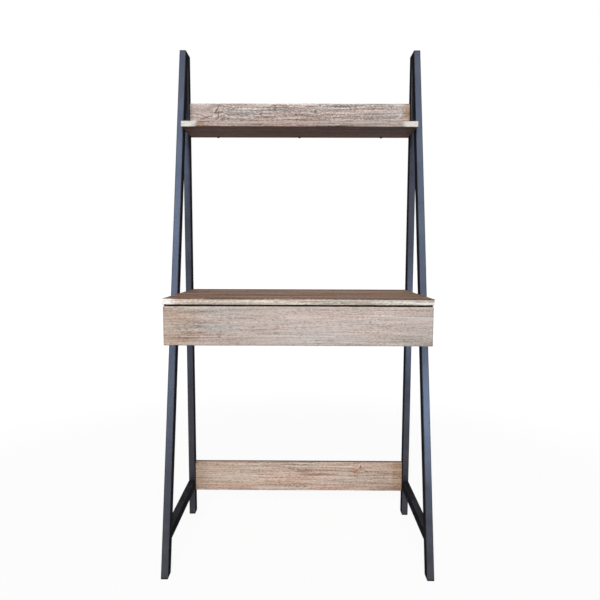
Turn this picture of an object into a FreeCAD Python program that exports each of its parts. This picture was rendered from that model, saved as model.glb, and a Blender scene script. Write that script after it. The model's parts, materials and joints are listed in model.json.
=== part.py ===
import FreeCAD, Part
import math
import os
import re

import Sketcher
from FreeCAD import Placement, Rotation, Vector

# Ladder desk, in millimetres. X runs along the desk, Y from the sitter to the wall, Z up.
# The origin is on the floor, under the middle of the desk.

SIZES = {
    # overall
    "inner_width": 710,         # between the two side frames
    "depth": 380,               # from the desk's front edge to the back of the rear legs
    "total_height": 1522,
    "desk_height": 773,         # top of the desk
    "shelf_height": 1286,       # top of the shelf
    "shelf_depth": 142,
    # side frames of rectangular steel tube
    "tube_width": 20,
    "tube_depth": 32,
    "tube_wall": 1.5,
    "tube_corner": 2.5,
    "apex_contact": 24,         # length of the plumb cut where the front leg meets the rear leg
    "rail_bottom": 88,          # floor to the side rail
    "rail_depth": 32,
    "foot_plate": 4,
    "cap_plate": 3,
    "plug_length": 14,
    "plug_clearance": 0.2,
    # boards
    "board": 16,
    "edge_round": 1,
    "upstand_height": 88,
    "stretcher_bottom": 78,
    "stretcher_height": 100,
    # drawer
    "front_height": 104,
    "front_side_gap": 2,        # drawer front short of the desk's ends
    "shadow_gap": 4,            # desk top to drawer front
    "front_running_gap": 2,     # drawer front to the edges of the desk sides
    "finger_grip": 24,          # drawer front below the drawer box
    "box_top_clearance": 10,
    "side_lip": 5,              # desk sides below the drawer box
    "box_board": 12,
    "box_back_clearance": 12,
    "bottom_panel": 5,
    "bottom_rise": 8,           # lower edge of the box to its bottom panel
    "groove_depth": 6,
    "groove_clearance": 0.4,
    # drawer slides
    "drawer_travel": 250,
    "slide_thickness": 12.5,
    "slide_height": 35,
    "slide_sheet": 1.2,
    "slide_bend": 2,
    "slide_end_clearance": 3,
    "ball": 4,                  # diameter
    "ball_clearance": 0.12,
    "ball_pitch": 22,
    "cage_sheet": 0.8,
    "cage_clearance": 0.3,
    "cage_lip": 1,              # cage past the middle of its balls
    "hook_angle": 10,           # end of the fixed channel's curl, above level
    "curl_angle": 45,           # turn of the drawer channel's curl
    # bolts through the legs
    "bolt": 6,
    "bolt_head": 10.5,
    "bolt_head_rim": 0.9,
    "bolt_head_height": 3.3,
    "bolt_head_flat": 5.6,
    "bolt_key": 4,
    "bolt_key_depth": 2,
    "bolt_clearance": 0.6,
    "bolt_reach": 10,           # bolt past the inner wall of the tube
    "insert": 9,
    "insert_length": 12,
    "insert_bore": 6.3,
    "insert_clearance": 0.2,
    "desk_bolt_edge": 19,       # bolts from the desk sides' upper and lower edges
    "stretcher_bolt_edge": 25,
    # dowels
    "dowel": 8,
    "dowel_length": 30,
    "dowel_seat": 10,           # share of the dowel in the board whose face it meets
    "dowel_chamfer": 1,
    "dowel_clearance": 0.2,
    "dowel_inset": 27,
    "dowel_pitch": 20,
    "back_dowel_spread": 240,
    "box_dowel": 6,
    "box_dowel_length": 22,
    "box_dowel_seat": 8,
    "box_dowel_pitch": 36,
    # button-head screws up through the shelf
    "upstand_screw": 4.5,
    "upstand_screw_head": 9,
    "upstand_screw_head_rim": 0.9,
    "upstand_screw_head_height": 3.2,
    "upstand_screw_head_flat": 4.8,
    "upstand_screw_key": 3,
    "upstand_screw_key_depth": 1.8,
    "upstand_screw_length": 45,
    "upstand_screw_spread": 265,
    # countersunk screws
    "screw_clearance": 0.15,
    "front_screw": 4,
    "front_screw_head": 8,
    "front_screw_length": 24,
    "front_screw_inner": 80,
    "front_screw_outer": 240,
    "slide_screw": 3.5,
    "slide_screw_head": 7,
    "slide_screw_length": 10,
    "slide_screw_inset": 36,    # first and last screw from the ends of the slide
}

DERIVED = {
    "back": "depth / 2",
    "front": "-depth / 2",
    "half_width": "inner_width / 2",
    "leg_middle": "half_width + tube_width / 2",
    # front leg: it stands under the desk's front edge, and its rear face reaches the rear leg at the apex
    "rear_leg_front": "back - tube_depth",
    "leg_run": "rear_leg_front - front",
    "apex_height": "total_height - apex_contact",
    "lean": "acos(tube_depth / hypot(leg_run; apex_height)) - atan2(apex_height; leg_run)",
    "leg_level_depth": "tube_depth / cos(lean)",
    "wall_level_depth": "tube_wall / cos(lean)",
    "plug_level_inset": "(tube_wall + plug_clearance) / cos(lean)",
    "leg_slope": "tan(lean)",
    "leg_centre": "front + leg_level_depth / 2",
    "cap_seat": "total_height - cap_plate",
    "rail_top": "rail_bottom + rail_depth",
    # boards
    "desk_under": "desk_height - board",
    "shelf_under": "shelf_height - board",
    "board_back_middle": "back - board / 2",
    # drawer front and the space behind it
    "front_top": "desk_under - shadow_gap",
    "front_bottom": "front_top - front_height",
    "front_back": "front + board",
    "box_bottom": "front_bottom + finger_grip",
    "box_top": "desk_under - box_top_clearance",
    "box_height": "box_top - box_bottom",
    "box_middle": "(box_top + box_bottom) / 2",
    "side_bottom": "box_bottom - side_lip",
    "side_height": "desk_under - side_bottom",
    "side_front": "front_back + front_running_gap",
    "side_inside": "half_width - board",
    "case_back": "back - board",
    "box_outside": "side_inside - slide_thickness",
    "box_inside": "box_outside - box_board",
    "box_rear": "case_back - box_back_clearance",
    "box_depth": "box_rear - front_back",
    "panel_seat": "box_bottom + bottom_rise",
    "groove_height": "bottom_panel + groove_clearance",
    "panel_inset": "groove_depth - groove_clearance",
    # slides: the balls run between the two channels' curled edges
    "slide_rear": "case_back - slide_end_clearance",
    "slide_front": "side_front + slide_end_clearance",
    "slide_length": "slide_rear - slide_front",
    "race_inner": "ball / 2 + ball_clearance",
    "race_outer": "race_inner + slide_sheet",
    "ball_across": "slide_thickness / 2",
    "ball_up": "slide_height / 2 - race_outer",
    "rail_half": "ball_up - race_inner",
    "cage_length": "slide_length - drawer_travel",
    "cage_front": "slide_front + drawer_travel / 2",
    "cage_web": "slide_sheet + cage_clearance",
}

doc = FreeCAD.newDocument("ladder_desk")
sheet = doc.addObject("Spreadsheet::Sheet", "Sizes")
for row, (alias, size) in enumerate(SIZES.items(), start=1):
    sheet.set(f"A{row}", alias)
    sheet.set(f"B{row}", str(size))
    sheet.setAlias(f"B{row}", alias)
doc.recompute()

SUBPARTS = []
LEFT, RIGHT = -1, 1
SIDES = {"left": LEFT, "right": RIGHT}
INTO = {"x": Vector(1, 0, 0), "y": Vector(0, 1, 0), "z": Vector(0, 0, 1)}
PARALLEL = 0.9999  # cosine above which an edge runs along a tube


def formula(text):
    """Write a formula of named sizes as one that refers to the sheet."""
    def refer(match):
        word = match.group(0)
        if word in SIZES:
            return f"Sizes.{word}"
        if word in DERIVED:
            return f"({formula(DERIVED[word])})"
        return word
    return re.sub(r"[a-z][a-z_]*", refer, str(text))


def value(text):
    """Work out a formula of named sizes as a number."""
    result = sheet.evalExpression(formula(text))
    return float(getattr(result, "Value", result))


def bind(item, **sizes):
    for name, text in sizes.items():
        item.setExpression(name.replace("__", "."), formula(text))


def place(item, x, y, z):
    bind(item, Placement__Base__x=x, Placement__Base__y=y, Placement__Base__z=z)


def subpart(item):
    SUBPARTS.append(item)
    return item


def cut(label, base, *tools):
    """Cut one or more solids out of a base; the result is a sub-part."""
    for number, tool in enumerate(tools, start=1):
        last = number == len(tools)
        result = doc.addObject("Part::Cut", label if last else f"{label}_cut_{number}")
        result.Base = base
        result.Tool = tool
        base = result
    return subpart(base)


def new_body(label):
    return doc.addObject("PartDesign::Body", label)


def new_sketch(body, plane, label):
    sketch = body.newObject("Sketcher::SketchObject", label)
    support = next(item for item in body.Origin.OriginFeatures if item.Role == plane)
    sketch.AttachmentSupport = [(support, "")]
    sketch.MapMode = "FlatFace"
    return sketch


def pin_corner(sketch, geometry, point, name, across, up):
    """Tie one end of a line or arc to a place worked out from the sheet."""
    for kind, axis, text, tag in (("DistanceX", -2, across, "across"), ("DistanceY", -1, up, "up")):
        if text == "0":
            sketch.addConstraint(Sketcher.Constraint("PointOnObject", geometry, point, axis))
            continue
        index = sketch.addConstraint(Sketcher.Constraint(kind, -1, 1, geometry, point, value(text)))
        sketch.renameConstraint(index, f"{name}_{tag}")
        sketch.setExpression(f"Constraints.{name}_{tag}", formula(text))


def outline(sketch, corners):
    """Draw a closed outline of corners (across, up). A corner with a middle and a radius starts an arc."""
    spots = [Vector(value(corner[0]), value(corner[1]), 0) for corner in corners]
    edges = []
    for index, corner in enumerate(corners):
        start, end = spots[index], spots[(index + 1) % len(spots)]
        if len(corner) == 2:
            edges.append((sketch.addGeometry(Part.LineSegment(start, end), False), 1, 2))
            continue
        middle = Vector(value(corner[2][0]), value(corner[2][1]), 0)
        turns_left = (start - middle).cross(end - middle).z > 0
        first, last = (start, end) if turns_left else (end, start)
        angles = [math.atan2((spot - middle).y, (spot - middle).x) for spot in (first, last)]
        circle = Part.Circle(middle, Vector(0, 0, 1), value(corner[3]))
        arc = sketch.addGeometry(Part.ArcOfCircle(circle, *angles), False)
        edges.append((arc, 1, 2) if turns_left else (arc, 2, 1))
    for index, (edge, begin, end) in enumerate(edges):
        following, following_begin, _ = edges[(index + 1) % len(edges)]
        sketch.addConstraint(Sketcher.Constraint("Coincident", edge, end, following, following_begin))
        pin_corner(sketch, edge, begin, f"corner_{index}", *corners[index][:2])
        if len(corners[index]) > 2:
            radius = sketch.addConstraint(Sketcher.Constraint("Radius", edge, value(corners[index][3])))
            sketch.renameConstraint(radius, f"radius_{index}")
            sketch.setExpression(f"Constraints.radius_{index}", formula(corners[index][3]))


def extrude(body, kind, plane, corners, length, name, symmetric=False):
    """Add or remove the prism of an outline, from one of the body's own planes."""
    sketch = new_sketch(body, plane, f"{body.Name}_{name}_sketch")
    outline(sketch, corners)
    doc.recompute()
    feature = body.newObject(f"PartDesign::{kind}", f"{body.Name}_{name}")
    feature.Profile = sketch
    if symmetric:
        feature.SideType = "Symmetric"
    bind(feature, Length=length)
    body.Tip = feature
    doc.recompute()
    return feature


def round_edges(body, feature, chosen, radius, name="rounded"):
    """Round the edges of a feature that a test picks out."""
    edges = [f"Edge{n}" for n, edge in enumerate(feature.Shape.Edges, start=1) if chosen(edge)]
    fillet = body.newObject("PartDesign::Fillet", f"{body.Name}_{name}")
    fillet.Base = (feature, edges)
    bind(fillet, Radius=radius)
    body.Tip = fillet
    doc.recompute()
    return fillet


def revolve(body, corners):
    """Turn a half outline about the body's own Z axis."""
    sketch = new_sketch(body, "XZ_Plane", f"{body.Name}_sketch")
    outline(sketch, corners)
    doc.recompute()
    feature = body.newObject("PartDesign::Revolution", f"{body.Name}_turned")
    feature.Profile = sketch
    feature.ReferenceAxis = (sketch, ["V_Axis"])
    body.Tip = feature
    doc.recompute()
    return feature


def group(label, pattern, stations):
    """Repeat a pattern piece at each station, its own +Z turned to the station's direction."""
    copies = []
    for x, y, z, direction in stations:
        copy = pattern.Shape.copy()
        turn = Rotation(Vector(0, 0, 1), direction)
        copy.Placement = Placement(Vector(value(x), value(y), value(z)), turn).multiply(copy.Placement)
        copies.append(copy)
    item = doc.addObject("Part::Feature", label)
    item.Shape = Part.makeCompound(copies)
    return item


def box(label, length, width, height, x, y, z):
    item = doc.addObject("Part::Box", label)
    bind(item, Length=length, Width=width, Height=height)
    place(item, x, y, z)
    return item


def board(label, length, width, height, x, y, z):
    """A solid board with its edges eased."""
    body = new_body(label)
    block = body.newObject("PartDesign::AdditiveBox", f"{label}_block")
    bind(block, Length=length, Width=width, Height=height)
    doc.recompute()
    eased = body.newObject("PartDesign::Fillet", f"{label}_eased")
    eased.Base = (block, [""])
    eased.UseAllEdges = True
    bind(eased, Radius="edge_round")
    body.Tip = eased
    place(body, x, y, z)
    doc.recompute()
    return body


# Fasteners: patterns that the groups repeat, with their heads towards +Z

def button_pattern(name, length, point="0"):
    """Button-head bolt or pointed screw with a hexagon key, its head seated at Z = 0."""
    body = new_body(f"{name}_pattern")
    shank, rim, flat = f"{name} / 2", f"{name}_head / 2", f"{name}_head_flat / 2"
    low, high = f"{name}_head_rim", f"{name}_head_height"
    dome = f"{name}_head"
    drop = f"({high} - {low})"
    half_chord = f"hypot({rim} - {flat}; {drop}) / 2"
    reach = f"sqrt({dome}^2 - ({half_chord})^2) / (2 * {half_chord})"
    middle = (f"({rim} + {flat}) / 2 - {drop} * {reach}", f"({low} + {high}) / 2 - ({rim} - {flat}) * {reach}")
    end = f"-({length})"
    revolve(body, [("0", end), (shank, f"{end} + {point}"), (shank, "0"), (rim, "0"),
                   (rim, low, middle, dome), (flat, high), ("0", high)])
    key = new_sketch(body, "XY_Plane", f"{name}_key_sketch")
    key.AttachmentOffset = Placement(Vector(0, 0, value(high)), Rotation())
    bind(key, AttachmentOffset__Base__z=high)
    side = f"{name}_key / 2 / cos(30)"
    ring = [(f"{side} * cos({turn})", f"{side} * sin({turn})") for turn in (30, 150, 210, 330)]
    outline(key, [ring[0], ("0", side), ring[1], ring[2], ("0", f"-({side})"), ring[3]])
    doc.recompute()
    pocket = body.newObject("PartDesign::Pocket", f"{name}_key_pocket")
    pocket.Profile = key
    bind(pocket, Length=f"{name}_key_depth")
    body.Tip = pocket
    doc.recompute()
    return body


def rod_pattern(label, radius, low, high):
    """Plain round bar along Z."""
    rod = doc.addObject("Part::Cylinder", label)
    bind(rod, Radius=radius, Height=f"{high} - ({low})")
    place(rod, "0", "0", low)
    doc.recompute()
    return rod


def ring_pattern(label, radius, bore, low):
    """Round sleeve that hangs from Z = 0 down to a lower end."""
    sleeve = doc.addObject("Part::Cut", label)
    sleeve.Base = rod_pattern(f"{label}_outside", radius, low, "0")
    sleeve.Tool = rod_pattern(f"{label}_bore", bore, low, "0")
    doc.recompute()
    return sleeve


def dowel_pattern(label, diameter, length, seat, clearance="0"):
    """Dowel whose joint line is at Z = 0: its seat is above, the rest below."""
    body = new_body(label)
    radius = f"{diameter} / 2 + {clearance}"
    high, low = f"{seat} + {clearance}", f"{seat} - {length} - {clearance}"
    nose = "dowel_chamfer"
    revolve(body, [("0", low), (f"{radius} - {nose}", low), (radius, f"{low} + {nose}"),
                   (radius, f"{high} - {nose}"), (f"{radius} - {nose}", high), ("0", high)])
    return body


def screw_pattern(label, diameter, head, length, clearance="0"):
    """Countersunk screw, its head flush at Z = 0 and its point downwards."""
    body = new_body(label)
    shank = f"({diameter} / 2 + {clearance})"
    rim = f"({head} / 2 + {clearance})"
    end = f"-({length} + {clearance})"
    revolve(body, [("0", end), (shank, f"{end} + {shank}"), (shank, f"{shank} - {rim}"),
                   (rim, "0"), ("0", "0")])
    return body


# Side frames

def leg_at(z, inset="0"):
    """Y of the front leg's front face at a height, and of its rear face with the same inset."""
    face = f"front + ({z}) * leg_slope"
    return f"{face} + {inset}", f"{face} + leg_level_depth - {inset}"


def front_leg_outline(low, high, inset, apex):
    """Side view of the front leg: parallel faces, cut level at both ends and plumb at the apex."""
    low_near, low_far = leg_at(low, inset)
    high_near, _ = leg_at(high, inset)
    meets = f"apex_height + {inset} / leg_slope"
    return [(low_near, low), (low_far, low), (apex, meets), (apex, high), (high_near, high)]


def rear_leg_outline(low, high, inset):
    near, far = f"rear_leg_front + {inset}", f"back - ({inset})"
    return [(near, low), (far, low), (far, high), (near, high)]


def tube(label, side, outside, inside, along):
    """Rectangular tube seen from the side: outer prism with rounded long edges, then its bore."""
    body = new_body(label)
    prism = extrude(body, "Pad", "YZ_Plane", outside, "tube_width", "outside", symmetric=True)
    direction = along.normalize()

    def runs_along(edge):
        ends = edge.Vertexes
        step = (ends[1].Point - ends[0].Point).normalize()
        return abs(step.dot(direction)) > PARALLEL
    round_edges(body, prism, runs_along, "tube_corner")
    extrude(body, "Pocket", "YZ_Plane", inside, "tube_width - 2 * tube_wall", "bore", symmetric=True)
    place(body, f"{side} * leg_middle", "0", "0")
    return body


def plug(label, side, plate, stem):
    """Moulded plug for a tube end: a plate as large as the tube and a stem inside it."""
    body = new_body(label)
    pad = extrude(body, "Pad", "YZ_Plane", plate, "tube_width", "plate", symmetric=True)

    def goes_up(edge):
        step = edge.Vertexes[1].Point - edge.Vertexes[0].Point
        return abs(step.z) > step.Length / 2
    round_edges(body, pad, goes_up, "tube_corner")
    stem_width = "tube_width - 2 * (tube_wall + plug_clearance)"
    extrude(body, "Pad", "YZ_Plane", stem, stem_width, "stem", symmetric=True)
    place(body, f"{side} * leg_middle", "0", "0")
    return subpart(body)


def side_frame(word, side, leg_holes):
    leaning = Vector(0, value("sin(lean)"), value("cos(lean)"))
    wall = "wall_level_depth"
    gap = "plug_level_inset"
    level_gap = "(tube_wall + plug_clearance)"
    foot, foot_stem = "foot_plate", "foot_plate + plug_length"
    top, cap, cap_stem = "total_height", "cap_seat", "cap_seat - plug_length"

    blank = tube(f"{word}_front_leg_blank", side, front_leg_outline(foot, cap, "0", "rear_leg_front"),
                 front_leg_outline(foot, cap, wall, "rear_leg_front"), leaning)
    cut(f"{word}_front_leg", blank, leg_holes["front"])
    blank = tube(f"{word}_rear_leg_blank", side, rear_leg_outline(foot, cap, "0"),
                 rear_leg_outline(foot, cap, "tube_wall"), Vector(0, 0, 1))
    cut(f"{word}_rear_leg", blank, leg_holes["rear"])

    def rail_outline(low, high):
        return [(leg_at(low)[1], low), ("rear_leg_front", low),
                ("rear_leg_front", high), (leg_at(high)[1], high)]
    subpart(tube(f"{word}_side_rail", side, rail_outline("rail_bottom", "rail_top"),
                 rail_outline("rail_bottom + tube_wall", "rail_top - tube_wall"), Vector(0, 1, 0)))

    def leaning_slab(low, high, inset):
        low_near, low_far = leg_at(low, inset)
        high_near, high_far = leg_at(high, inset)
        return [(low_near, low), (low_far, low), (high_far, high), (high_near, high)]
    plug(f"{word}_front_foot", side, leaning_slab("0", foot, "0"), leaning_slab(foot, foot_stem, gap))
    plug(f"{word}_rear_foot", side, rear_leg_outline("0", foot, "0"),
         rear_leg_outline(foot, foot_stem, level_gap))
    near_plate, near_top = leg_at(cap)[0], leg_at(top)[0]
    near_seat = leg_at(cap, gap)[0]
    near_stem, far_stem = leg_at(cap_stem, gap)
    stem_rear = f"min({far_stem}; rear_leg_front - {level_gap})"
    plug(f"{word}_front_cap", side,
         [(near_plate, cap), ("rear_leg_front", cap), ("rear_leg_front", top), (near_top, top)],
         [(near_stem, cap_stem), (stem_rear, cap_stem), (stem_rear, cap), (near_seat, cap)])
    plug(f"{word}_rear_cap", side, rear_leg_outline(cap, top, "0"),
         rear_leg_outline(cap_stem, cap, level_gap))


# Places where bolts go through the legs: (leg, y, z)

def front_leg_middle(z):
    return f"leg_centre + ({z}) * leg_slope"


REAR_LEG_MIDDLE = "rear_leg_front + tube_depth / 2"
DESK_BOLT_HEIGHTS = ("side_bottom + desk_bolt_edge", "desk_under - desk_bolt_edge")
SHELF_MIDDLE = "shelf_height - board / 2"
STRETCHER_BOLT_HEIGHTS = ("stretcher_bottom + stretcher_bolt_edge",
                          "stretcher_bottom + stretcher_height - stretcher_bolt_edge")
BOLTS = {
    "desk": [("front", front_leg_middle(z), z) for z in DESK_BOLT_HEIGHTS]
    + [("rear", REAR_LEG_MIDDLE, z) for z in DESK_BOLT_HEIGHTS],
    "shelf": [("front", front_leg_middle(SHELF_MIDDLE), SHELF_MIDDLE),
              ("rear", REAR_LEG_MIDDLE, SHELF_MIDDLE)],
    "stretcher": [("rear", "board_back_middle", z) for z in STRETCHER_BOLT_HEIGHTS],
}


def bolt_stations(wanted, face, sides=(LEFT, RIGHT), leg=None):
    """Stations of the bolts of one board, or of one leg, with their heads towards the outside."""
    return [(f"{side} * ({face})", y, z, INTO["x"] * side)
            for side in sides for name in wanted for which, y, z in BOLTS[name]
            if leg in (None, which)]


bolt = button_pattern("bolt", "tube_width + bolt_reach")
leg_hole = rod_pattern("leg_hole_pattern", "(bolt + bolt_clearance) / 2", "-2 * tube_width", "tube_width")
insert = ring_pattern("insert_pattern", "insert / 2", "insert_bore / 2", "-insert_length")
insert_hole = rod_pattern("insert_hole_pattern", "insert / 2 + insert_clearance / 2",
                          "-(insert_length + insert_clearance)", "insert_length")
insert_holes = {}
for board_name in BOLTS:
    subpart(group(f"{board_name}_bolts", bolt, bolt_stations([board_name], "half_width + tube_width")))
    seats = bolt_stations([board_name], "half_width")
    subpart(group(f"{board_name}_inserts", insert, seats))
    insert_holes[board_name] = group(f"{board_name}_insert_holes", insert_hole, seats)

for word, side in SIDES.items():
    holes = {leg: group(f"{word}_{leg}_leg_holes", leg_hole,
                        bolt_stations(BOLTS, "half_width + tube_width", (side,), leg))
             for leg in ("front", "rear")}
    side_frame(word, side, holes)


# Desk top with the panels that carry the drawer

DOWEL_SIZES = ("dowel", "dowel_length", "dowel_seat")
dowel = dowel_pattern("dowel_pattern", *DOWEL_SIZES)
dowel_hole = dowel_pattern("dowel_hole_pattern", *DOWEL_SIZES, "dowel_clearance")
BACK_DOWEL_HEIGHTS = [f"(desk_under + side_bottom) / 2 + {way} * dowel_pitch / 2" for way in (-1, 1)]


def side_dowel_stations():
    """Dowels from each desk side up into the desk top, and from the back panel into each desk side."""
    stations = []
    for side in SIDES.values():
        middle = f"{side} * (half_width - board / 2)"
        for y in ("side_front + dowel_inset", "case_back - dowel_inset"):
            stations.append((middle, y, "desk_under", INTO["z"]))
        for z in BACK_DOWEL_HEIGHTS:
            stations.append((f"{side} * side_inside", "board_back_middle", z, INTO["x"] * side))
    return stations


back_top_dowels = [(f"{way} * back_dowel_spread", "board_back_middle", "desk_under", INTO["z"])
                   for way in (-1, 0, 1)]
case_stations = side_dowel_stations() + back_top_dowels
subpart(group("case_dowels", dowel, case_stations))
case_dowel_holes = group("case_dowel_holes", dowel_hole, case_stations)

blank = board("desk_top_blank", "inner_width", "depth", "board", "-half_width", "front", "desk_under")
cut("desk_top", blank, case_dowel_holes)

blank = box("desk_back_blank", "2 * side_inside", "board", "side_height",
            "-side_inside", "case_back", "side_bottom")
cut("desk_back", blank, case_dowel_holes)

# Drawer slides: each side has a channel fixed to the desk, a cage of balls and a channel on the drawer

SLIDE_SCREW_SIZES = ("slide_screw", "slide_screw_head", "slide_screw_length")
slide_screw = screw_pattern("slide_screw_pattern", *SLIDE_SCREW_SIZES)
slide_screw_hole = screw_pattern("slide_screw_hole_pattern", *SLIDE_SCREW_SIZES, "screw_clearance")
SLIDE_SCREW_PLACES = ("slide_front + slide_screw_inset", "(slide_front + slide_rear) / 2",
                      "slide_rear - slide_screw_inset")


def slide_screw_stations(side, face, way):
    return [(f"{side} * ({face})", y, "box_middle", INTO["x"] * way) for y in SLIDE_SCREW_PLACES]


def mirrored(half):
    """Close an outline from its upper half: the same corners again, below the middle line."""
    lower = []
    for index in range(len(half) - 1, -1, -1):
        across, up = half[index][:2]
        corner = (across, f"-({up})")
        arc = half[index - 1][2:] if index > 0 else ()
        if arc:
            middle, radius = arc
            corner += ((middle[0], f"-({middle[1]})"), radius)
        lower.append(corner)
    return half + lower


def turned_to(side, corners):
    """Measure an outline from the desk side towards the drawer, on either hand."""
    def handed(text):
        return text if text == "0" else f"{-side} * ({text})"
    turned = []
    for across, up, *arc in corners:
        if arc:
            middle, radius = arc
            turned.append((handed(across), up, (handed(middle[0]), middle[1]), radius))
        else:
            turned.append((handed(across), up))
    return turned


def channel(label, side, half):
    """Roll-formed channel along the slide; its profile is the outline of a half and its mirror image."""
    body = new_body(label)
    extrude(body, "Pad", "XZ_Plane", turned_to(side, mirrored(half)), "slide_length", "profile")
    place(body, f"{side} * side_inside", "slide_rear", "box_middle")
    return body


def polar(radius, angle):
    """Point on a race about the middle of the upper row of balls."""
    return f"ball_across + {radius} * cos({angle})", f"ball_up + {radius} * sin({angle})"


def fixed_channel_half():
    """Web on the desk side, bent in at the top and curled down over the balls."""
    top = "slide_height / 2"
    bend = ("slide_bend", f"{top} - slide_bend")
    balls = ("ball_across", "ball_up")
    return [("0", f"{top} - slide_bend", bend, "slide_bend"), ("slide_bend", top),
            ("ball_across", top, balls, "race_outer"), polar("race_outer", "hook_angle"),
            polar("race_inner", "hook_angle") + (balls, "race_inner"),
            ("ball_across", f"{top} - slide_sheet"),
            ("slide_bend", f"{top} - slide_sheet", bend, "slide_bend - slide_sheet"),
            ("slide_sheet", f"{top} - slide_bend")]


def drawer_channel_half():
    """Web on the drawer side, bent towards the desk and curled up round the balls from below."""
    outside = "slide_thickness"
    bend = (f"{outside} - slide_bend", "rail_half - slide_bend")
    balls = ("ball_across", "ball_up")
    end = "-90 - curl_angle"
    return [(outside, "rail_half - slide_bend", bend, "slide_bend"), (f"{outside} - slide_bend", "rail_half"),
            ("ball_across", "rail_half", balls, "race_inner"), polar("race_inner", end),
            polar("race_outer", end) + (balls, "race_outer"),
            ("ball_across", "rail_half - slide_sheet"),
            (f"{outside} - slide_bend", "rail_half - slide_sheet", bend, "slide_bend - slide_sheet"),
            (f"{outside} - slide_sheet", "rail_half - slide_bend")]


def cage(label, side, count, first):
    """Strip bent into a channel, with a row of snap-in seats for balls along both edges."""
    body = new_body(label)
    edge = "ball_up + cage_sheet / 2"
    lip = "ball_across + cage_lip"
    half = [("cage_web", edge), (lip, edge), (lip, f"{edge} - cage_sheet"),
            ("cage_web + cage_sheet", f"{edge} - cage_sheet")]
    strip = extrude(body, "Pad", "XZ_Plane", turned_to(side, mirrored(half)), "cage_length", "strip")
    seat = new_sketch(body, "XY_Plane", f"{label}_seat_sketch")
    middle = Vector(-side * value("ball_across"), value(first), 0)
    hole = seat.addGeometry(Part.Circle(middle, Vector(0, 0, 1), value("race_inner")), False)
    pin_corner(seat, hole, 3, "seat", f"{-side} * ball_across", first)
    radius = seat.addConstraint(Sketcher.Constraint("Radius", hole, value("race_inner")))
    seat.renameConstraint(radius, "seat_radius")
    seat.setExpression("Constraints.seat_radius", formula("race_inner"))
    doc.recompute()
    pocket = body.newObject("PartDesign::Pocket", f"{label}_seat")
    pocket.Profile = seat
    pocket.SideType = "Symmetric"
    bind(pocket, Length="2 * slide_height")
    doc.recompute()
    if not pocket.Shape.Volume < strip.Shape.Volume:
        raise ValueError("the ball seat cuts nothing")
    row = body.newObject("PartDesign::LinearPattern", f"{label}_seats")
    row.Originals = [pocket]
    row.Direction = (seat, ["V_Axis"])
    row.Reversed = True
    row.Occurrences = count
    bind(row, Length=f"ball_pitch * {max(count - 1, 1)}")
    body.Tip = row
    place(body, f"{side} * side_inside", "cage_front + cage_length", "box_middle")
    doc.recompute()
    return subpart(body)


ball_count = max(int(value("cage_length / ball_pitch")), 1)
first_ball = f"-(cage_length - ball_pitch * {ball_count - 1}) / 2"
ball_shape = doc.addObject("Part::Sphere", "ball_pattern")
bind(ball_shape, Radius="ball / 2")
doc.recompute()

fixed_stations = [station for side in SIDES.values()
                  for station in slide_screw_stations(side, "side_inside - slide_sheet", -side)]
drawer_stations = [station for side in SIDES.values()
                   for station in slide_screw_stations(side, "box_outside + slide_sheet", side)]
subpart(group("slide_fixed_screws", slide_screw, fixed_stations))
subpart(group("slide_drawer_screws", slide_screw, drawer_stations))
fixed_holes = group("slide_fixed_screw_holes", slide_screw_hole, fixed_stations)
drawer_holes = group("slide_drawer_screw_holes", slide_screw_hole, drawer_stations)

for word, side in SIDES.items():
    blank = box(f"desk_{word}_side_blank", "board", "back - side_front", "side_height",
                "side_inside" if side == RIGHT else "-half_width", "side_front", "side_bottom")
    cut(f"desk_{word}_side", blank, insert_holes["desk"], case_dowel_holes, fixed_holes)

    blank = channel(f"{word}_fixed_channel_blank", side, fixed_channel_half())
    cut(f"{word}_slide_fixed_channel", blank, fixed_holes)
    blank = channel(f"{word}_drawer_channel_blank", side, drawer_channel_half())
    cut(f"{word}_slide_drawer_channel", blank, drawer_holes)
    cage(f"{word}_slide_cage", side, ball_count, first_ball)
    seats = [(f"{side} * (side_inside - ball_across)",
              f"cage_front + cage_length + {first_ball} - {number} * ball_pitch",
              f"box_middle + {way} * ball_up", INTO["z"])
             for way in (-1, 1) for number in range(ball_count)]
    subpart(group(f"{word}_slide_balls", ball_shape, seats))

# Drawer

BOX_DOWEL_SIZES = ("box_dowel", "box_dowel_length", "box_dowel_seat")
box_dowel = dowel_pattern("box_dowel_pattern", *BOX_DOWEL_SIZES)
box_dowel_hole = dowel_pattern("box_dowel_hole_pattern", *BOX_DOWEL_SIZES, "dowel_clearance")
box_ends = ("front_back + box_board / 2", "box_rear - box_board / 2")
corner_stations = [(f"{side} * box_inside", y, f"box_middle + {way} * box_dowel_pitch / 2", INTO["x"] * side)
                   for side in SIDES.values() for y in box_ends for way in (-1, 1)]
subpart(group("drawer_dowels", box_dowel, corner_stations))
corner_holes = group("drawer_dowel_holes", box_dowel_hole, corner_stations)

FRONT_SCREW_SIZES = ("front_screw", "front_screw_head", "front_screw_length")
front_screw = screw_pattern("front_screw_pattern", *FRONT_SCREW_SIZES)
front_screw_hole = screw_pattern("front_screw_hole_pattern", *FRONT_SCREW_SIZES, "screw_clearance")
front_stations = [(f"{way} * {spread}", "front_back + box_board", "box_middle", INTO["y"])
                  for spread in ("front_screw_inner", "front_screw_outer") for way in (-1, 1)]
subpart(group("drawer_front_screws", front_screw, front_stations))
front_holes = group("drawer_front_screw_holes", front_screw_hole, front_stations)

blank = board("drawer_front_blank", "inner_width - 2 * front_side_gap", "board", "front_height",
              "front_side_gap - half_width", "front", "front_bottom")
cut("drawer_front", blank, front_holes)

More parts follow.
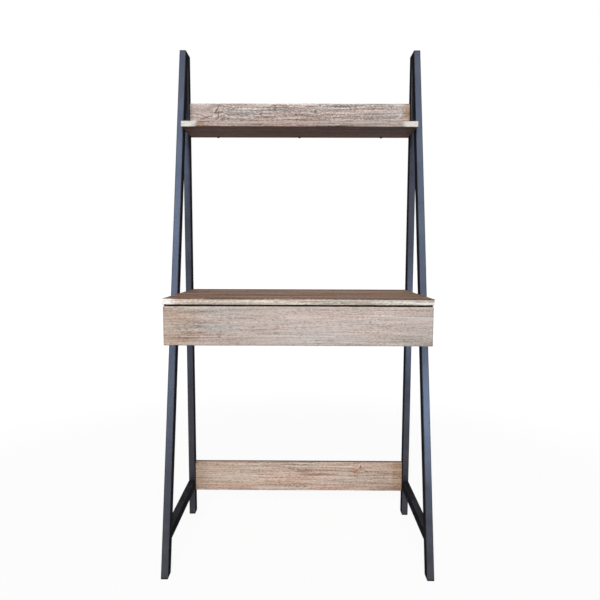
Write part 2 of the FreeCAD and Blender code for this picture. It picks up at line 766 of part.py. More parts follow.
# one groove all round the inside of the drawer box takes the bottom panel
groove = box("drawer_groove", "2 * (box_inside + groove_depth)",
             "box_depth - 2 * (box_board - groove_depth)", "groove_height",
             "-(box_inside + groove_depth)", "front_back + box_board - groove_depth", "panel_seat")
blank = box("drawer_inner_front_blank", "2 * box_inside", "box_board", "box_height",
            "-box_inside", "front_back", "box_bottom")
cut("drawer_inner_front", blank, groove, corner_holes, front_holes)
blank = box("drawer_back_blank", "2 * box_inside", "box_board", "box_height",
            "-box_inside", "box_rear - box_board", "box_bottom")
cut("drawer_back", blank, groove, corner_holes)
for word, side in SIDES.items():
    blank = box(f"drawer_{word}_side_blank", "box_board", "box_depth", "box_height",
                "box_inside" if side == RIGHT else "-box_outside", "front_back", "box_bottom")
    cut(f"drawer_{word}_side", blank, groove, corner_holes, drawer_holes)
subpart(box("drawer_bottom", "2 * (box_inside + panel_inset)",
            "box_depth - 2 * (box_board - panel_inset)", "bottom_panel",
            "-(box_inside + panel_inset)", "front_back + box_board - panel_inset", "panel_seat"))

# Shelf with its upstand, and the stretcher between the rear legs

upstand_screw = button_pattern("upstand_screw", "upstand_screw_length", "upstand_screw / 2")
upstand_screw_hole = rod_pattern("upstand_screw_hole_pattern", "upstand_screw / 2 + screw_clearance",
                                 "-(upstand_screw_length + screw_clearance)", "board")
upstand_stations = [(f"{way} * upstand_screw_spread", "board_back_middle", "shelf_under", INTO["z"] * -1)
                    for way in (-1, 0, 1)]
subpart(group("upstand_screws", upstand_screw, upstand_stations))
upstand_holes = group("upstand_screw_holes", upstand_screw_hole, upstand_stations)

blank = board("shelf_blank", "inner_width", "shelf_depth", "board",
              "-half_width", "back - shelf_depth", "shelf_under")
cut("shelf", blank, insert_holes["shelf"], upstand_holes)
blank = board("shelf_upstand_blank", "inner_width", "board", "upstand_height",
              "-half_width", "back - board", "shelf_height")
cut("shelf_upstand", blank, upstand_holes)
blank = board("rear_stretcher_blank", "inner_width", "board", "stretcher_height",
              "-half_width", "back - board", "stretcher_bottom")
cut("rear_stretcher", blank, insert_holes["stretcher"])

doc.recompute()
for item in doc.Objects:
    if "Invalid" in item.State or "Error" in item.State:
        raise RuntimeError(f"{item.Name} failed: {item.State}")
for item in SUBPARTS:
    if item.Shape.isNull() or not item.Shape.isValid() or not item.Shape.Solids:
        raise RuntimeError(f"{item.Label} has no sound solid")

os.makedirs("parts", exist_ok=True)
for item in SUBPARTS:
    item.Shape.exportStep(f"parts/{item.Label}.step")
    print(f"{item.Label}: {len(item.Shape.Solids)} solids, {item.Shape.Volume:.0f} mm3")
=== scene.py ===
import json
import math
from collections import namedtuple

import bpy
from mathutils import Matrix, Vector


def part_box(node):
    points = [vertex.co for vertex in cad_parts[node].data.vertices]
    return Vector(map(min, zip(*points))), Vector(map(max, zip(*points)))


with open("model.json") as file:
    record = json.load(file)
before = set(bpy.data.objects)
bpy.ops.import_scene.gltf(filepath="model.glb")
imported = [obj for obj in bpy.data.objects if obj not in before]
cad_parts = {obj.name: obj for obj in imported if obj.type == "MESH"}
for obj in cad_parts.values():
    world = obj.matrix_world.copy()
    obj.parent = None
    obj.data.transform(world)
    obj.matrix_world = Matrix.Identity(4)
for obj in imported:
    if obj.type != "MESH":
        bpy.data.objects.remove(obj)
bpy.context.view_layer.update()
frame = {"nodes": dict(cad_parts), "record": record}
nodes = frame["nodes"]
scene = bpy.context.scene


# Node trees

AXES = "XYZ"
MIDWAY = 0.5  # middle of a noise and of a board's tones
SEED_SPREAD = (1.0, 0.7, 1.3)  # how far a seed moves a noise along each axis


def opaque(colour):
    return (*colour, 1.0)


def add(tree, kind, inputs=None, **settings):
    """Make a shader node; an input is a number, a colour or the socket that feeds it."""
    node = tree.nodes.new(f"ShaderNode{kind}")
    for name, setting in settings.items():
        setattr(node, name, setting)
    for key, given in (inputs or {}).items():
        if isinstance(given, bpy.types.NodeSocket):
            tree.links.new(given, node.inputs[key])
        else:
            node.inputs[key].default_value = given
    return node


def calc(tree, operation, first, second=0.0, third=0.0):
    return add(tree, "Math", {0: first, 1: second, 2: third}, operation=operation).outputs[0]


def shifted(tree, given, weight, base):
    """The base, raised where a noise is above its middle and lowered where it is below."""
    return calc(tree, "MULTIPLY_ADD", calc(tree, "SUBTRACT", given, MIDWAY), weight, base)


def mix(tree, blend, share, under, over):
    """Blend two colours: a Mix node takes them at sockets 6 and 7 and gives the result at output 2."""
    node = add(tree, "Mix", {0: share, 6: under, 7: over}, data_type="RGBA", blend_type=blend)
    return node.outputs[2]


def ramp(tree, given, colours, low, high):
    """Colours spread evenly over the values from low to high."""
    node = add(tree, "ValToRGB", {"Fac": given})
    elements = node.color_ramp.elements
    while len(elements) < len(colours):
        elements.new(1.0)
    for index, (element, colour) in enumerate(zip(elements, colours)):
        element.position = low + (high - low) * index / (len(colours) - 1)
        element.color = opaque(colour)
    return node.outputs["Color"]


def step(tree, given, start, full):
    """0 up to start, 1 from full on, smooth between; start may be the larger, and then it falls."""
    node = add(tree, "MapRange", {"Value": given, "From Min": start, "From Max": full},
               interpolation_type="SMOOTHSTEP", clamp=True)
    return node.outputs["Result"]


def noise(tree, place, stretch, seed, detail, roughness):
    """Noise at so many waves a metre along each axis."""
    offset = tuple(seed * share for share in SEED_SPREAD)
    scaled = add(tree, "VectorMath", {0: place, 1: stretch, 2: offset}, operation="MULTIPLY_ADD").outputs[0]
    node = add(tree, "TexNoise", {"Vector": scaled, "Scale": 1.0, "Detail": detail, "Roughness": roughness})
    return node.outputs["Fac"]


def material(name):
    """A new material with its node tree and shader."""
    made = bpy.data.materials.new(name)
    made.use_nodes = True
    tree = made.node_tree
    return made, tree, tree.nodes["Principled BSDF"]


def feed(tree, shader, **sockets):
    """Link sockets to the shader's inputs; an underscore stands for a space in an input's name."""
    for name, given in sockets.items():
        tree.links.new(given, shader.inputs[name.replace("_", " ")])


def bump(tree, height, strength, depth):
    return add(tree, "Bump", {"Height": height, "Strength": strength, "Distance": depth}).outputs["Normal"]


# Woods: a weathered board's grain runs along one axis and is the same solid pattern on every face

# noise of each layer of the grain: waves a metre along and across it, detail, roughness
GRAIN = {
    "waver": (2.6, 12.0, 2.0, 0.55),
    "broad": (1.5, 30.0, 4.0, 0.55),
    "streak": (6.0, 220.0, 3.0, 0.5),
    "dash": (130.0, 360.0, 2.0, 0.5),
    "fibre": (150.0, 620.0, 2.0, 0.55),
    "pore": (90.0, 400.0, 2.0, 0.5),
    "crack": (4.5, 240.0, 2.0, 0.5),
    "lime": (10.0, 280.0, 3.0, 0.55),
    "hue": (5.0, 45.0, 3.0, 0.55),
    "swirl": (55.0, 90.0, 2.0, 0.55),
}
SEED_STEP = 7.3  # between two layers of one board
FINE_GRAIN = {"streak": 1.9, "dash": 1.5, "fibre": 0.9}  # weight of each in the tone
SHORT_MARKS = ("dash", "fibre")
EDGE_MARKS = 0.7  # share of the short marks that shows on a face of another tone
TONE_SPAN = (0.1, 0.9)  # tone at the darkest and the palest colour
FACE_SPAN = (0.15, 0.85)  # the same on a face of another tone
HUES = [(0.925, 0.98, 1.0), (0.98, 0.97, 0.96), (1.0, 0.92, 0.885)]  # from cold to warm, multiplied in
HUE_SPAN = (0.36, 0.64)  # noise at the coldest and the warmest
LIMED = (0.70, 0.66, 0.62)
LIME_RISE = (0.6, 0.74)  # noise where the pale flecks start and where they are full
LIME_SHARE = 0.4
CRACK = (0.40, 0.32, 0.27)  # colour of pores and cracks, multiplied in
PORE_FALL = (0.42, 0.33)  # noise where the pores start and where they are full
CRACK_FALL = (0.36, 0.28)
CRACK_SHARE = 0.5
KNOT_HEART = (0.36, 0.27, 0.21)
HEART_RADIUS = 0.6  # of the knot's own
HEART_SHARE = 0.4
KNOT_PUSH = 1.1  # how far a knot parts the grain, of its height
KNOT_FADE = -0.5  # exponent of a knot's reach, for each squared radius
KNOT_SWIRL = 1.6  # how uneven a knot's rings are
RING_WAVES = 7.5  # radians for each radius of a knot
RING_SHARE = 0.16  # weight of the rings in the tone
RAGGED = 2.2  # how far the streaks break up a patch's rim
STREAK_RELIEF = 0.6  # height of the streaks, of the fibres'
WOOD_ROUGHNESS = 0.7
WOOD_ROUGHNESS_SWING = 0.2  # from the lowest to the highest noise
WOOD_SPECULAR = 0.12
WOOD_BUMP = (0.4, 0.0006)  # strength, depth

# what the steps of one board's material share; up is the axis across the grain on the board's main face
Board = namedtuple("Board", "tree place parts middle grain up seed contrast fineness")
# a knot that bends the grain: where from the board's middle, half its length and height, all in metres,
# and the slope of its grain
Knot = namedtuple("Knot", "along up length height lean", defaults=(0.0,))
# a stain or pale place: where from the board's middle, half its length and height, all in metres,
# its colour and strength, softness of its rim, how it blends in, tilt in degrees
Patch = namedtuple("Patch", "along up length height colour share soft blend tilt",
                   defaults=(0.9, "MULTIPLY", 0.0))
# a side or an edge of another tone; each bound is (axis, value where it starts, value where it is full)
Face = namedtuple("Face", "bounds share tones")


def layer(board, source, kind):
    """One layer of the grain's noise, for places in the board or in its bent grain."""
    along, across, detail, roughness = GRAIN[kind]
    finer = board.fineness if kind in FINE_GRAIN else 1.0
    stretch = tuple((along if axis == board.grain else across) * finer for axis in AXES)
    seed = board.seed + SEED_STEP * list(GRAIN).index(kind)
    return noise(board.tree, source, stretch, seed, detail, roughness)


def within(board, bounds):
    """1 where all bounds are full."""
    inside = None
    for axis, start, full in bounds:
        rise = step(board.tree, board.parts[axis], start, full)
        inside = rise if inside is None else calc(board.tree, "MULTIPLY", inside, rise)
    return inside


def spread(board, spot, tilt=0.0):
    """Place along and across a spot, 1 at its rim, and the squared distance."""
    tree = board.tree
    cos = math.cos(math.radians(tilt))
    sin = math.sin(math.radians(tilt))
    right = calc(tree, "SUBTRACT", board.parts["X"], board.middle.x + spot.along)
    rise = calc(tree, "SUBTRACT", board.parts[board.up], board.middle[AXES.index(board.up)] + spot.up)
    lift = calc(tree, "MULTIPLY", rise, sin / spot.length)
    drop = calc(tree, "MULTIPLY", right, -sin / spot.height)
    along = calc(tree, "MULTIPLY_ADD", right, cos / spot.length, lift)
    across = calc(tree, "MULTIPLY_ADD", rise, cos / spot.height, drop)
    square = calc(tree, "MULTIPLY_ADD", along, along, calc(tree, "MULTIPLY", across, across))
    return along, across, square


def bend(board, sway, knots):
    """Place in the grain, which wanders and goes round the knots, and each knot's rings and reach."""
    tree = board.tree
    waver = layer(board, board.place, "waver")
    bent = {}
    for axis, part in board.parts.items():
        bent[axis] = part if axis == board.grain else shifted(tree, waver, sway, part)
    rings = []
    for knot in knots:
        along, across, square = spread(board, knot)
        reach = calc(tree, "EXPONENT", calc(tree, "MULTIPLY", square, KNOT_FADE))
        slope = calc(tree, "MULTIPLY", along, -knot.lean * knot.length)
        shove = calc(tree, "MULTIPLY_ADD", across, -KNOT_PUSH * knot.height, slope)
        bent[board.up] = calc(tree, "MULTIPLY_ADD", shove, reach, bent[board.up])
        swirl = layer(board, board.place, "swirl")
        rings.append((shifted(tree, swirl, KNOT_SWIRL, calc(tree, "SQRT", square)), reach))
    return add(tree, "CombineXYZ", bent).outputs[0], rings


def shade(board, flow, fine, figure, rings):
    """Tone of the long streaks alone, and with the short marks and the knots' rings."""
    tree = board.tree
    bands = shifted(tree, layer(board, flow, "broad"), figure, MIDWAY)
    streaks = shifted(tree, fine["streak"], FINE_GRAIN["streak"] * board.contrast, bands)
    tone = streaks
    for kind in SHORT_MARKS:
        tone = shifted(tree, fine[kind], FINE_GRAIN[kind] * board.contrast, tone)
    for distance, reach in rings:
        ripple = calc(tree, "SINE", calc(tree, "MULTIPLY", distance, RING_WAVES))
        tone = calc(tree, "MULTIPLY_ADD", calc(tree, "MULTIPLY", ripple, reach), RING_SHARE, tone)
    return streaks, tone


def paint_faces(board, colour, tone, faces):
    tree = board.tree
    for bounds, share, tones in faces:
        on_face = calc(tree, "MULTIPLY", within(board, bounds), share)
        colour = mix(tree, "MIX", on_face, colour, ramp(tree, tone, tones, *FACE_SPAN))
    return colour


def paint_patches(board, colour, streak, patches):
    tree = board.tree
    for patch in patches:
        _, _, square = spread(board, patch, patch.tilt)
        inside = step(tree, shifted(tree, streak, RAGGED, square), 1.0 + patch.soft, 1.0 - patch.soft)
        cover = calc(tree, "MULTIPLY", inside, patch.share)
        colour = mix(tree, patch.blend, cover, colour, opaque(patch.colour))
    return colour


def wood(name, tones, seed, grain="X", up="Z", middle=None, contrast=1.0, fineness=1.0, figure=0.9,
         sway=0.024, knots=(), faces=(), patches=()):
    """Weathered grey-brown board. Tones run from the darkest streaks to the palest.

    middle: the board's, from which knots and patches are placed
    contrast, fineness: strength of the fine grain, and how much smaller it is than usual
    figure: strength of the broad bands
    sway: how far the grain wanders, in metres
    """
    made, tree, shader = material(name)
    place = add(tree, "TexCoord").outputs["Object"]
    split = add(tree, "SeparateXYZ", {0: place})
    parts = {axis: split.outputs[axis] for axis in AXES}
    board = Board(tree, place, parts, middle, grain, up, seed, contrast, fineness)

    flow, rings = bend(board, sway, knots)
    fine = {kind: layer(board, flow, kind) for kind in FINE_GRAIN}
    streaks, tone = shade(board, flow, fine, figure, rings)
    colour = ramp(tree, tone, tones, *TONE_SPAN)
    calmer = calc(tree, "MULTIPLY_ADD", calc(tree, "SUBTRACT", tone, streaks), EDGE_MARKS, streaks)
    colour = paint_faces(board, colour, calmer, faces)

    colour = mix(tree, "MULTIPLY", 1.0, colour, ramp(tree, layer(board, flow, "hue"), HUES, *HUE_SPAN))
    flecks = calc(tree, "MULTIPLY", step(tree, layer(board, flow, "lime"), *LIME_RISE), LIME_SHARE * contrast)
    colour = mix(tree, "MIX", flecks, colour, opaque(LIMED))
    colour = paint_patches(board, colour, fine["streak"], patches)
    for distance, _ in rings:
        heart = calc(tree, "MULTIPLY", step(tree, distance, HEART_RADIUS, 0.0), HEART_SHARE)
        colour = mix(tree, "MULTIPLY", heart, colour, opaque(KNOT_HEART))

    pores = step(tree, layer(board, flow, "pore"), *PORE_FALL)
    cracks = step(tree, layer(board, flow, "crack"), *CRACK_FALL)
    dark = calc(tree, "MULTIPLY", calc(tree, "MAXIMUM", pores, cracks), CRACK_SHARE)
    colour = mix(tree, "MULTIPLY", dark, colour, opaque(CRACK))

    raised = calc(tree, "MULTIPLY_ADD", fine["streak"], STREAK_RELIEF, fine["fibre"])
    relief = calc(tree, "SUBTRACT", raised, dark)
    rough = shifted(tree, fine["streak"], WOOD_ROUGHNESS_SWING, WOOD_ROUGHNESS)
    shader.inputs["Specular IOR Level"].default_value = WOOD_SPECULAR
    feed(tree, shader, Base_Color=colour, Roughness=rough, Normal=bump(tree, relief, *WOOD_BUMP))
    return made


# Coats and metals

# noise of each: seed, detail, roughness
PEEL = (5.0, 2.0, 0.5)
CLOUD = (9.0, 3.0, 0.6)
LINES = (2.0, 3.0, 0.6)
CLOUD_WAVES = 14.0  # a metre
COLOUR_SPAN = (0.3, 0.7)  # noise at the first and the second colour
EDGE_SHEEN = (0.0, 0.0, 0.0)  # tint of a coat's reflection at a glancing angle
COAT_ROUGHNESS_SWING = 0.14
COAT_BUMP = (0.12, 0.0002)
METAL_ROUGHNESS_SWING = 0.2
METAL_BUMP = (0.08, 0.0001)
METAL_DARKEST = 0.8  # of its colour


def coat(name, colour, paler, roughness, specular, peel_waves, metallic=0.0):
    """Powder coat or moulded plastic: fine orange peel and faint uneven tone."""
    made, tree, shader = material(name)
    place = add(tree, "TexCoord").outputs["Object"]
    peel = noise(tree, place, (peel_waves,) * 3, *PEEL)
    cloud = noise(tree, place, (CLOUD_WAVES,) * 3, *CLOUD)
    tone = ramp(tree, cloud, (colour, paler), *COLOUR_SPAN)
    rough = shifted(tree, cloud, COAT_ROUGHNESS_SWING, roughness)
    shader.inputs["Specular IOR Level"].default_value = specular
    shader.inputs["Metallic"].default_value = metallic
    shader.inputs["Specular Tint"].default_value = opaque(EDGE_SHEEN)
    feed(tree, shader, Base_Color=tone, Roughness=rough, Normal=bump(tree, peel, *COAT_BUMP))
    return made


def metal(name, colour, roughness, stretch):
    """Drawn or rolled bright steel, with faint lines along its length."""
    made, tree, shader = material(name)
    place = add(tree, "TexCoord").outputs["Object"]
    lines = noise(tree, place, stretch, *LINES)
    darkest = tuple(METAL_DARKEST * part for part in colour)
    tone = ramp(tree, lines, (darkest, colour), *COLOUR_SPAN)
    rough = shifted(tree, lines, METAL_ROUGHNESS_SWING, roughness)
    shader.inputs["Metallic"].default_value = 1.0
    feed(tree, shader, Base_Color=tone, Roughness=rough, Normal=bump(tree, lines, *METAL_BUMP))
    return made


# Tones of the boards, and of their edges and undersides

FRONT_TONES = [(0.27, 0.205, 0.172), (0.48, 0.408, 0.375), (0.60, 0.53, 0.502), (0.75, 0.69, 0.67)]
TOP_TONES = [(0.083, 0.041, 0.023), (0.21, 0.115, 0.069), (0.294, 0.171, 0.111), (0.46, 0.313, 0.232)]
UPSTAND_TONES = [(0.18, 0.13, 0.112), (0.42, 0.352, 0.33), (0.58, 0.51, 0.485), (0.86, 0.80, 0.765)]
STRETCHER_TONES = [(0.31, 0.205, 0.15), (0.63, 0.47, 0.38), (0.78, 0.625, 0.53), (0.92, 0.79, 0.70)]
EDGE_TONES = [(0.44, 0.37, 0.31), (0.87, 0.79, 0.72)]
SHELF_EDGE_TONES = [(0.05, 0.036, 0.031), (0.53, 0.43, 0.395)]
# painted shade, for undersides and for the drawer front's top face in the gap below the desk top
PAINTED_SHADE_TONES = [(0.07, 0.033, 0.023), (0.164, 0.085, 0.063)]
# deeper painted shade, for strips of the shelf's underside
DEEP_SHADE_TONES = [(0.034, 0.021, 0.015), (0.056, 0.036, 0.026)]
TOP_LINE_TONES = [(0.05, 0.036, 0.03), (0.08, 0.06, 0.05)]
SEAM_TONES = [(0.20, 0.13, 0.09), (0.36, 0.27, 0.21)]
# painted highlight, for a thin line along an upper edge that catches the light
EDGE_HIGHLIGHT_TONES = [(0.62, 0.56, 0.50), (0.80, 0.75, 0.70)]
# near-white tones for the left end of the desk top's front edge
NEAR_WHITE_END_TONES = [(0.92, 0.91, 0.91), (0.98, 0.975, 0.97)]

# colours of patches
PALE_END = (0.71, 0.695, 0.66)
PALE_FLECK = (0.85, 0.80, 0.78)
PALE = (0.66, 0.57, 0.53)
WARM = (0.70, 0.53, 0.42)
LIT = (1.15, 1.16, 1.17)
ORANGE = (0.80, 0.60, 0.42)
RUST = (0.92, 0.78, 0.70)
TAN = (0.90, 0.80, 0.68)
SHADED = (0.88, 0.87, 0.86)
DARK_LINE = (0.48, 0.40, 0.37)

# Bounds of a board's faces, edges and strips

SKIN = 0.0006  # depth of a face's own tone
ROUND = 0.001  # radius of a board's edge
WRAP = 0.0022  # how far the desk top's own tone comes down over its front edge
ARRIS = 0.003  # height of a thin line along an edge, for the painted highlight along an upper edge and for the dark seams


def strip(axis, edge, inward, gone, full):
    """Full at one distance from a board's edge and gone at another; inward is 1 or -1."""
    return axis, edge + gone * inward, edge + full * inward


def face(axis, edge, inward):
    """A whole side of a board."""
    return strip(axis, edge, inward, gone=2 * SKIN, full=SKIN)


def line(axis, edge, inward, height):
    """A line along an edge, as high as given."""
    return strip(axis, edge, inward, gone=height, full=height / 2)


def dark_line(along, up, length, height, share, tilt=0.0):
    return Patch(along, up, length, height, DARK_LINE, share, soft=0.6, tilt=tilt)


# Looks of the boards that show

def top_wood():
    """Desk top: brown, with a pale front edge, a painted highlight along its upper arris, the palest part at
    the left end, painted shade on its underside, and a dark line at the rear.
    """
    low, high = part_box("desk_top")
    front = face("Y", low.y, 1)
    wrap = high.z - WRAP
    edge = strip("Z", wrap, -1, gone=0.0, full=SKIN)
    corner = strip("Z", high.z, -1, gone=ROUND / 2, full=ROUND)
    left_end = strip("X", low.x, 1, gone=0.045, full=0.012)
    rear = strip("Y", high.y, -1, gone=0.022, full=0.006)
    return wood(
        "top_wood", TOP_TONES, seed=1.0, up="Y", contrast=1.35, figure=2.3, sway=0.014,
        faces=[Face([front, edge], 0.95, EDGE_TONES),
               # painted highlight along the front edge's upper arris
               Face([front, edge, line("Z", wrap, -1, ARRIS)], 0.8, EDGE_HIGHLIGHT_TONES),
               Face([front, corner, left_end], 1.0, NEAR_WHITE_END_TONES),
               Face([rear, face("Z", high.z, -1)], 0.6, TOP_LINE_TONES),
               # painted shade on the underside
               Face([line("Z", low.z, 1, ROUND)], 1.0, PAINTED_SHADE_TONES)])


def front_wood():
    """Drawer front: pale, with a painted highlight along its upper edge, painted shade on its top face, and
    dark seams round the others.
    """
    low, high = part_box("drawer_front")
    return wood(
        "front_wood", FRONT_TONES, seed=23.0, middle=(low + high) / 2,
        contrast=0.68, fineness=1.3, figure=0.6, sway=0.006,
        # painted highlight along the upper edge, and painted shade on the top face in the gap
        faces=[Face([line("Z", high.z - ROUND, -1, ARRIS)], 0.7, EDGE_HIGHLIGHT_TONES),
               Face([line("Z", high.z, -1, ROUND)], 1.0, PAINTED_SHADE_TONES),
               Face([line("Z", low.z, 1, ARRIS)], 0.5, SEAM_TONES),
               Face([line("X", low.x, 1, ARRIS)], 0.5, SEAM_TONES),
               Face([line("X", high.x, -1, ARRIS)], 0.5, SEAM_TONES)],
        patches=[Patch(-0.36, 0.0, 0.09, 0.14, TAN, 0.75, soft=0.95),
                 Patch(-0.2, 0.0, 0.13, 0.14, SHADED, 0.5, soft=0.95),
                 Patch(0.0, 0.0, 0.15, 0.14, PALE, 0.25, soft=0.95, blend="MIX"),
                 Patch(0.34, 0.0, 0.08, 0.14, SHADED, 0.8, soft=0.95),
                 Patch(0.0, -0.051, 0.45, 0.026, SHADED, 0.9)])


def shelf_wood():
    """Shelf: brown, with pale ends on its front edge and painted shade on its underside, deepest at the rear
    and towards the front right.
    """
    low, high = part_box("shelf")
    middle = (low + high) / 2
    right = high.x - middle.x
    front = low.y - middle.y
    edge_depth = 0.003
    under = face("Z", low.z, 1)
    rear_strip = strip("Y", high.y, -1, gone=0.03, full=0.008)
    front_strip = strip("Y", low.y, 1, gone=0.06, full=0.005)
    right_half = strip("X", middle.x, 1, gone=-0.08, full=0.1)
    return wood(
        "shelf_wood", TOP_TONES, seed=41.0, up="Y", middle=middle, figure=2.2,
        faces=[Face([face("Y", low.y, 1)], 1.0, SHELF_EDGE_TONES),
               # painted shade on the underside, deepest at the rear and towards the front right
               Face([under], 1.0, PAINTED_SHADE_TONES),
               Face([under, rear_strip], 0.4, DEEP_SHADE_TONES),
               Face([under, front_strip, right_half], 0.6, DEEP_SHADE_TONES)],
        patches=[Patch(-right, front, 0.045, edge_depth, PALE_END, 1.0, soft=0.4, blend="MIX"),
                 Patch(right, front, 0.043, edge_depth, PALE_END, 1.0, soft=0.4, blend="MIX"),
                 Patch(-0.295, front, 0.013, edge_depth, RUST, 1.0, soft=0.6),
                 Patch(0.25, front, 0.09, edge_depth, PALE, 0.3, blend="MIX"),
                 Patch(0.02, 0.0, 0.22, 0.07, RUST, 1.0)])


def upstand_wood():
    """Upstand: grey, darker below, with a knot near its left end, a small one and an orange right end."""
    low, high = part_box("shelf_upstand")
    return wood(
        "upstand_wood", UPSTAND_TONES, seed=61.0, middle=(low + high) / 2,
        contrast=1.1, fineness=1.15, figure=0.6, sway=0.009,
        knots=[Knot(-0.273, 0.012, 0.022, 0.018, lean=0.9), Knot(0.056, 0.02, 0.012, 0.008)],
        patches=[Patch(0.0, -0.024, 0.38, 0.036, SHADED, 0.9),
                 Patch(0.14, -0.02, 0.26, 0.02, SHADED, 1.0),
                 Patch(0.19, 0.046, 0.24, 0.026, LIT, 1.0),
                 Patch(0.31, 0.015, 0.07, 0.06, PALE, 0.25, blend="MIX"),
                 Patch(0.36, 0.015, 0.025, 0.04, ORANGE, 0.9),
                 Patch(-0.315, 0.015, 0.05, 0.06, PALE, 0.45, blend="MIX"),
                 dark_line(-0.266, 0.027, 0.012, 0.0026, 0.9, tilt=58.0),
                 dark_line(-0.268, 0.015, 0.017, 0.0024, 0.8),
                 dark_line(-0.302, 0.0, 0.022, 0.0026, 0.8, tilt=17.0),
                 dark_line(-0.256, 0.003, 0.018, 0.0026, 0.8, tilt=29.0),
                 Patch(-0.274, 0.006, 0.007, 0.005, PALE_FLECK, 0.9, soft=0.6, blend="MIX", tilt=40.0)])


def stretcher_wood():
    """Stretcher: warm and pale, with a knot near its right end, darker ends and a dark line along its top."""
    low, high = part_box("rear_stretcher")
    middle = (low + high) / 2
    right = high.x - middle.x
    behind_edge = strip("Y", low.y, 1, gone=0.004, full=0.007)
    return wood(
        "stretcher_wood", STRETCHER_TONES, seed=73.0, middle=middle,
        contrast=0.8, fineness=1.2, figure=0.7, sway=0.008,
        knots=[Knot(0.2145, 0.03, 0.013, 0.010, lean=0.5)],
        faces=[Face([face("Z", high.z, -1), behind_edge], 0.8, TOP_LINE_TONES)],
        patches=[Patch(0.29, 0.0, 0.14, 0.09, SHADED, 1.0),
                 Patch(0.31, -0.052, 0.07, 0.016, DARK_LINE, 0.5),
                 Patch(0.02, 0.02, 0.03, 0.012, SHADED, 1.0),
                 Patch(right, 0.0, 0.03, 0.09, TAN, 1.0, soft=0.8),
                 Patch(-right, 0.0, 0.025, 0.09, TAN, 0.7, soft=0.8),
                 Patch(-0.22, -0.036, 0.11, 0.006, RUST, 0.8),
                 Patch(-0.25, 0.0, 0.12, 0.07, WARM, 0.3, blend="MIX"),
                 Patch(0.196, 0.022, 0.02, 0.02, RUST, 0.8),
                 dark_line(0.065, 0.0065, 0.075, 0.003, 0.9),
                 dark_line(0.196, 0.02, 0.011, 0.0024, 0.7, tilt=38.0),
                 dark_line(0.231, 0.02, 0.012, 0.0024, 0.7, tilt=-35.0),
                 dark_line(0.2125, 0.036, 0.007, 0.0024, 0.7, tilt=85.0)])


# Looks of all nodes, by material slot

LOOKS = {
    "top_wood": top_wood(),
    "front_wood": front_wood(),
    "shelf_wood": shelf_wood(),
    "upstand_wood": upstand_wood(),
    "stretcher_wood": stretcher_wood(),
    "carcass_board": wood("carcass_board", TOP_TONES, seed=91.0, grain="Y"),
    "box_board": wood("box_board", FRONT_TONES, seed=107.0, grain="Y", contrast=0.6),
    "bottom_board": wood("bottom_board", FRONT_TONES, seed=119.0, contrast=0.7),
    "dowel_wood": wood("dowel_wood", STRETCHER_TONES, seed=131.0, grain="Z", contrast=0.4),
    "black_steel": coat("black_steel", (0.053, 0.051, 0.059), (0.073, 0.071, 0.083),
                        roughness=0.36, specular=0.0, peel_waves=1500.0, metallic=0.55),
    "black_plastic": coat("black_plastic", (0.026, 0.027, 0.032), (0.034, 0.035, 0.041),
                          roughness=0.65, specular=0.2, peel_waves=2600.0),
    "black_fastener": coat("black_fastener", (0.010, 0.010, 0.012), (0.016, 0.016, 0.018),
                           roughness=0.42, specular=0.25, peel_waves=2000.0),
    "zinc_steel": metal("zinc_steel", (0.62, 0.63, 0.65), roughness=0.36, stretch=(400.0, 12.0, 400.0)),
    "ball_steel": metal("ball_steel", (0.72, 0.72, 0.74), roughness=0.18, stretch=(60.0, 60.0, 60.0)),
}
# boards of the case and the drawer box that run across, with their grain
cross_carcass = wood("cross_carcass_board", TOP_TONES, seed=97.0)
cross_box = wood("cross_box_board", FRONT_TONES, seed=113.0, contrast=0.6)
CROSSWISE = {"desk_back": cross_carcass, "drawer_inner_front": cross_box, "drawer_back": cross_box}

for part in frame["record"]["subparts"]:
    slots = nodes[part["node"]].data.materials
    slots.clear()
    slots.append(CROSSWISE.get(part["node"], LOOKS[part["material_slot"]]))


# Stage: a floor and a backdrop that look white, the floor a little less so near the object, for its shadow

WHITE = (1.0, 1.0, 1.0)
FLOOR_HALF = 30.0  # half the floor's width
FLOOR_TONE = (0.55, 0.55, 0.55)
FLOOR_WHITE = 1.06  # strength of the white that the floor shows
NEAR_SHARE = 0.88  # of the white near the object
NEAR = 1.0  # distance from the floor's middle where the white starts to rise
FAR = 3.0  # and where it is full
AMBIENT = (0.97, 0.98, 1.0)
AMBIENT_STRENGTH = 0.16


def seen_directly(tree):
    """1 for camera, glossy and transmission rays."""
    path = add(tree, "LightPath")
    seen = calc(tree, "MAXIMUM", path.outputs["Is Camera Ray"], path.outputs["Is Glossy Ray"])
    return calc(tree, "MAXIMUM", seen, path.outputs["Is Transmission Ray"])


def floor_look():
    made, tree, shader = material("floor")
    shader.inputs["Base Color"].default_value = opaque(FLOOR_TONE)
    shader.inputs["Roughness"].default_value = 1.0
    shader.inputs["Specular IOR Level"].default_value = 0.0
    white = add(tree, "Emission", {"Color": opaque(WHITE), "Strength": FLOOR_WHITE}).outputs[0]
    place = add(tree, "TexCoord").outputs["Object"]
    away = add(tree, "VectorMath", {0: place}, operation="LENGTH").outputs["Value"]
    cover = calc(tree, "MULTIPLY_ADD", step(tree, away, NEAR, FAR), 1.0 - NEAR_SHARE, NEAR_SHARE)
    share = calc(tree, "MULTIPLY", seen_directly(tree), cover)
    shown = add(tree, "MixShader", {0: share, 1: shader.outputs[0], 2: white}).outputs[0]
    tree.links.new(shown, tree.nodes["Material Output"].inputs["Surface"])
    return made


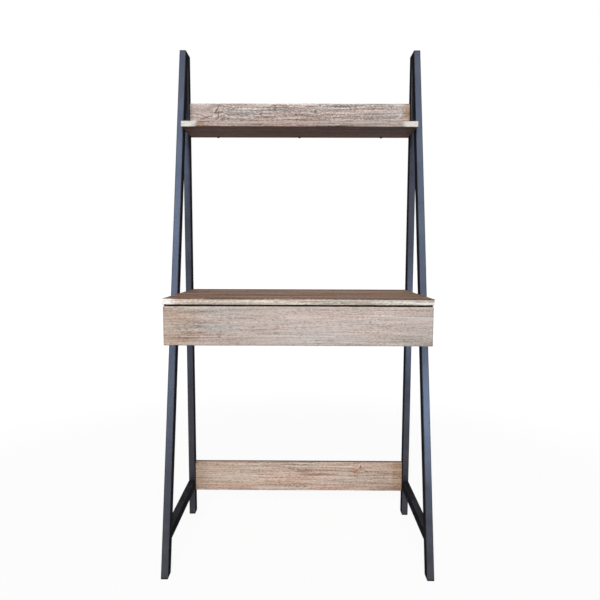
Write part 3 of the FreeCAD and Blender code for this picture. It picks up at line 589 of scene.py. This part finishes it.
def make_floor():
    mesh = bpy.data.meshes.new("floor")
    corners = [(x * FLOOR_HALF, y * FLOOR_HALF, 0.0) for x, y in ((-1, -1), (1, -1), (1, 1), (-1, 1))]
    mesh.from_pydata(corners, [], [range(len(corners))])
    mesh.materials.append(floor_look())
    made = bpy.data.objects.new("floor", mesh)
    scene.collection.objects.link(made)
    return made


def make_world():
    made = bpy.data.worlds.new("studio")
    made.use_nodes = True
    tree = made.node_tree
    ambient = tree.nodes["Background"]
    ambient.inputs["Color"].default_value = opaque(AMBIENT)
    ambient.inputs["Strength"].default_value = AMBIENT_STRENGTH
    backdrop = add(tree, "Background", {"Color": opaque(WHITE), "Strength": 1.0}).outputs[0]
    shown = add(tree, "MixShader", {0: seen_directly(tree), 1: ambient.outputs[0], 2: backdrop}).outputs[0]
    tree.links.new(shown, tree.nodes["World Output"].inputs["Surface"])
    return made


floor = make_floor()
scene.world = make_world()


# Lights

AIM = (0.0, 0.0, 0.8)  # where the lamps point
SKY = (0.44, 0.69, 1.0)
# soft lamps that light the object and that its gloss doesn't show: place, width, height, power, colour
LAMPS = {
    "key": ((-0.25, -3.6, 2.6), 1.6, 1.8, 142.0, (1.0, 0.99, 0.97)),
    "back": ((0.8, 4.2, 1.2), 1.6, 1.6, 85.0, (0.97, 0.98, 1.0)),
}
LEG = 0.365  # from the object's middle to the legs on each side
# panels of blue sky that only the gloss shows: place, target, width, height, power
PANELS = {
    "left_sky": ((-2.6, -8.0, 5.1), (-LEG, 0.0, 1.0), 2.2, 5.4, 450.0),
    "right_sky": ((2.5, -8.0, 6.4), (LEG, 0.0, 1.0), 2.2, 7.0, 370.0),
    "low_left_sky": ((-0.6, -1.0, 0.53), (-LEG, -0.09, 0.47), 0.35, 0.4, 1.4),
    "low_right_sky": ((0.6, -1.0, 0.53), (LEG, -0.09, 0.47), 0.35, 0.4, 6.3),
}


def area_light(name, place, target, width, height, power, colour):
    light = bpy.data.lights.new(name, "AREA")
    light.shape = "RECTANGLE"
    light.size = width
    light.size_y = height
    light.energy = power
    light.color = colour
    made = bpy.data.objects.new(name, light)
    made.location = place
    made.rotation_euler = (Vector(target) - Vector(place)).to_track_quat("-Z", "Y").to_euler()
    scene.collection.objects.link(made)
    return made


for name, (place, width, height, power, colour) in LAMPS.items():
    area_light(name, place, AIM, width, height, power, colour).visible_glossy = False
for name, (place, target, width, height, power) in PANELS.items():
    area_light(name, place, target, width, height, power, SKY).visible_diffuse = False


# Camera, from a fit to the object's outlines; angles in degrees, focal length in pixels of the image

IMAGE = 600
SENSOR = 36.0  # millimetres
FOCAL = 495.0
EYE = (0.0115, -1.4721, 0.8830)
YAW = -0.3018
PITCH = 5.0327  # down
ROLL = -0.182


def make_camera():
    yaw, pitch, roll = (math.radians(angle) for angle in (YAW, PITCH, ROLL))
    level_right = Vector((math.cos(yaw), -math.sin(yaw), 0.0))
    forward = Vector((math.sin(yaw) * math.cos(pitch), math.cos(yaw) * math.cos(pitch), -math.sin(pitch)))
    level_up = level_right.cross(forward)
    right = level_right * math.cos(roll) - level_up * math.sin(roll)
    up = level_right * math.sin(roll) + level_up * math.cos(roll)
    lens = bpy.data.cameras.new("camera")
    lens.sensor_width = SENSOR
    lens.lens = FOCAL / IMAGE * SENSOR
    made = bpy.data.objects.new("camera", lens)
    made.matrix_world = Matrix.Translation(EYE) @ Matrix((right, up, -forward)).transposed().to_4x4()
    scene.collection.objects.link(made)
    return made


scene.camera = make_camera()
scene.view_settings.view_transform = "Standard"
